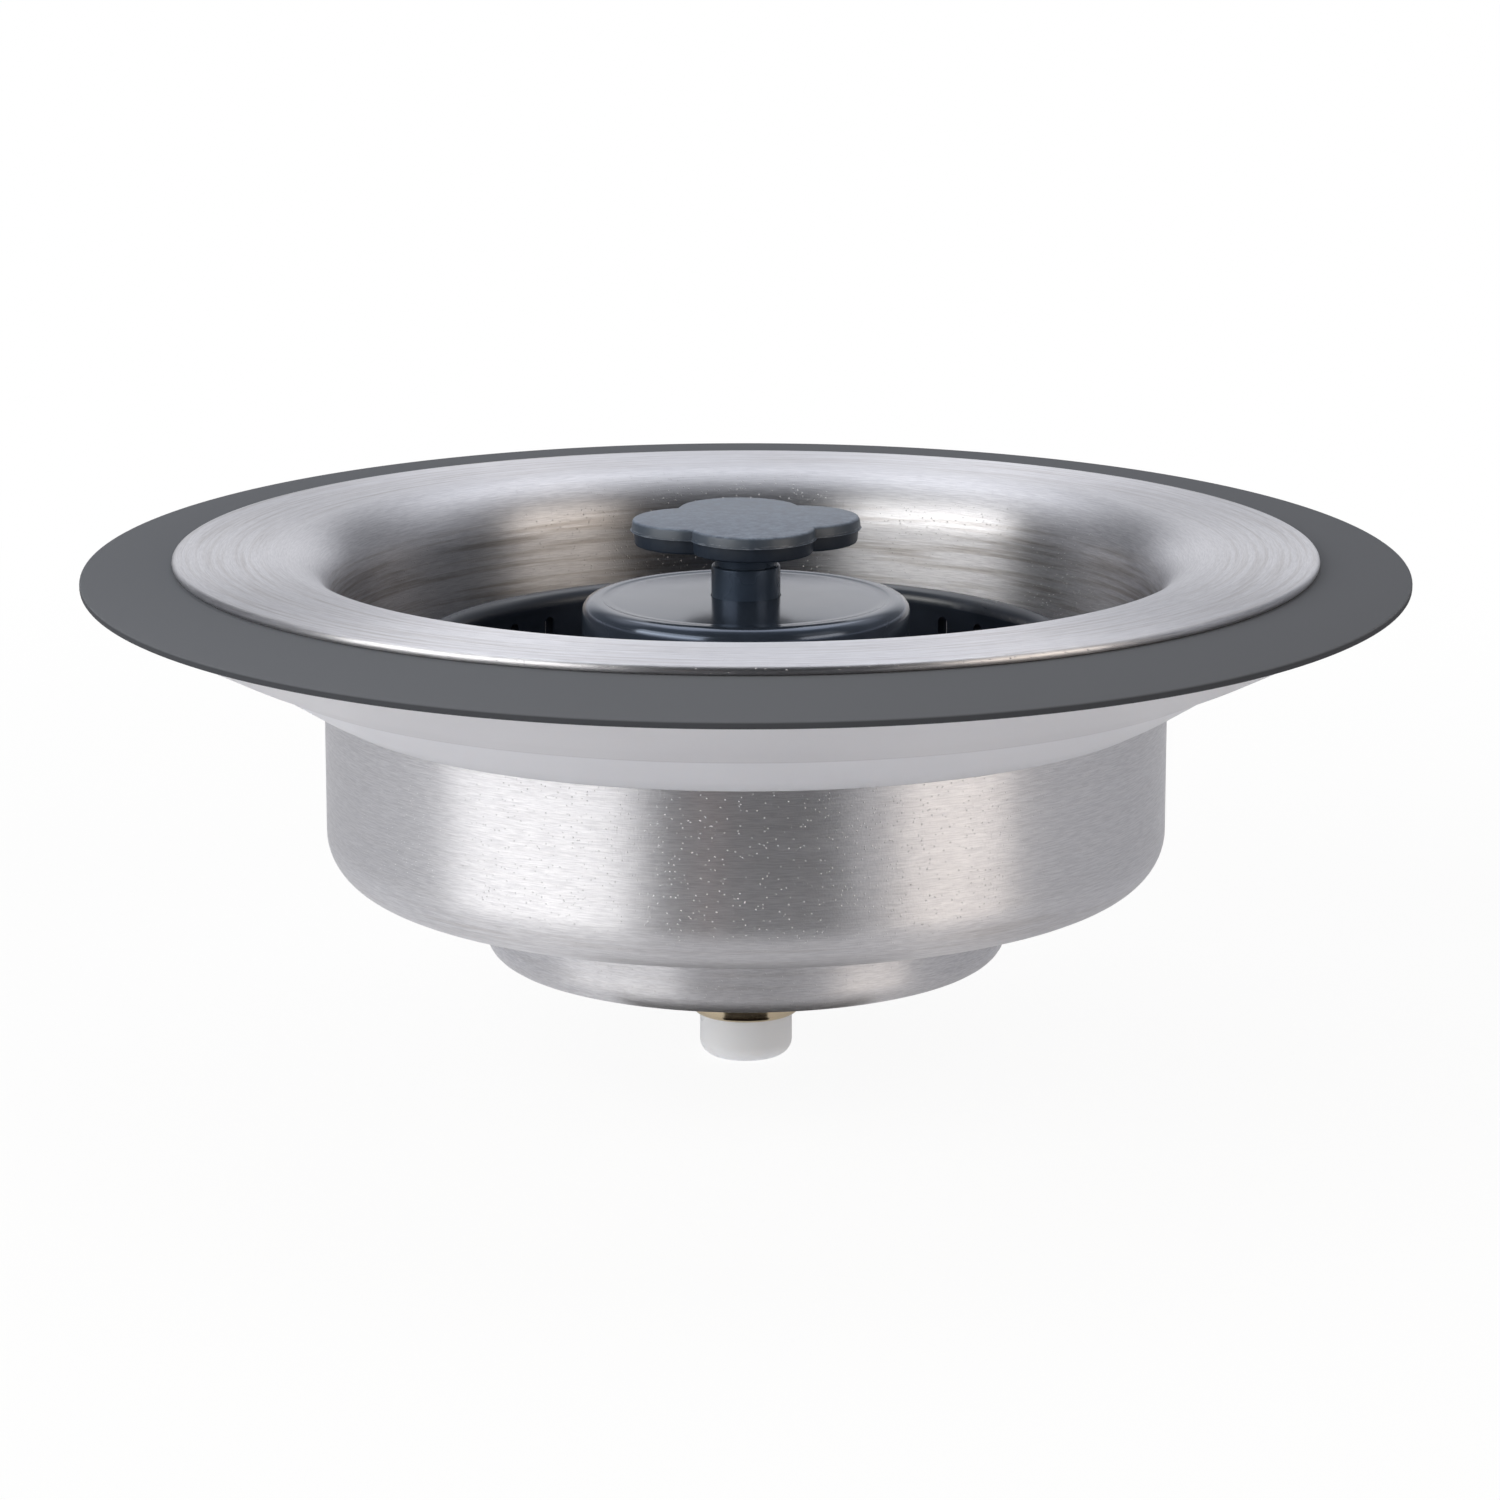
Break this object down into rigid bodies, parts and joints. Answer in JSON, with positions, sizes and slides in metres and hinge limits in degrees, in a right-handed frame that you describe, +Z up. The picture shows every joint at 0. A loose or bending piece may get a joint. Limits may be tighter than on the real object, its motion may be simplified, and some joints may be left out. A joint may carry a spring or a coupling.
{
  "type": "sink strainer",
  "caption": "Round steel sink strainer: flanged deep cup with a stepped drain, rubber gasket, lift-out slotted basket and push-pull plug with a lobed knob.",
  "frame": {"origin": "on the centre line, at the flange's top face, which lies in the sink's floor", "axes": "+Z up out of the sink along the centre line; the drain end is -Z"},
  "size_m": [0.1322, 0.1322, 0.0553],
  "materials": {
    "brushed_steel": "fine brushed stainless steel",
    "gasket_rubber": "matt moulded rubber",
    "seat_plastic": "smooth translucent polyethylene",
    "ferrule_metal": "polished nickel-plated brass",
    "nut_metal": "zinc-plated steel",
    "socket_plastic": "white moulded nylon",
    "ring_rubber": "black nitrile rubber",
    "basket_plastic": "dark slate moulded polypropylene",
    "hub_plastic": "dark slate moulded polypropylene, glossy",
    "disc_plastic": "dark slate moulded polypropylene",
    "seal_rubber": "black rubber",
    "clip_metal": "spring steel",
    "knob_plastic": "slate moulded plastic, satin"
  },
  "bodies": {
    "strainer": {"strainer_cup": "brushed_steel", "drain_step": "brushed_steel", "flange_gasket": "gasket_rubber", "seat_ring": "seat_plastic", "centre_ferrule": "ferrule_metal", "ferrule_nut": "nut_metal", "stem_socket": "socket_plastic", "grip_ring": "ring_rubber"},
    "basket": {"basket": "basket_plastic", "hub_cap": "hub_plastic"},
    "plug": {"plug_disc": "disc_plastic", "plug_seal": "seal_rubber", "stem_o_ring": "ring_rubber"},
    "handle": {"stem": "hub_plastic", "stem_clip": "clip_metal", "knob": "knob_plastic"}
  },
  "joints": [
    {"name": "basket_lift", "type": "slide", "parent": "strainer", "child": "basket", "axis": [0, 0, 1], "range_m": [0, 0.055]},
    {"name": "plug_push", "type": "slide", "parent": "basket", "child": "plug", "axis": [0, 0, 1], "range_m": [-0.0043, 0]},
    {"name": "knob_turn", "type": "hinge", "parent": "plug", "child": "handle", "pos_m": [0, 0, 0], "axis": [0, 0, 1], "continuous": true}
  ]
}
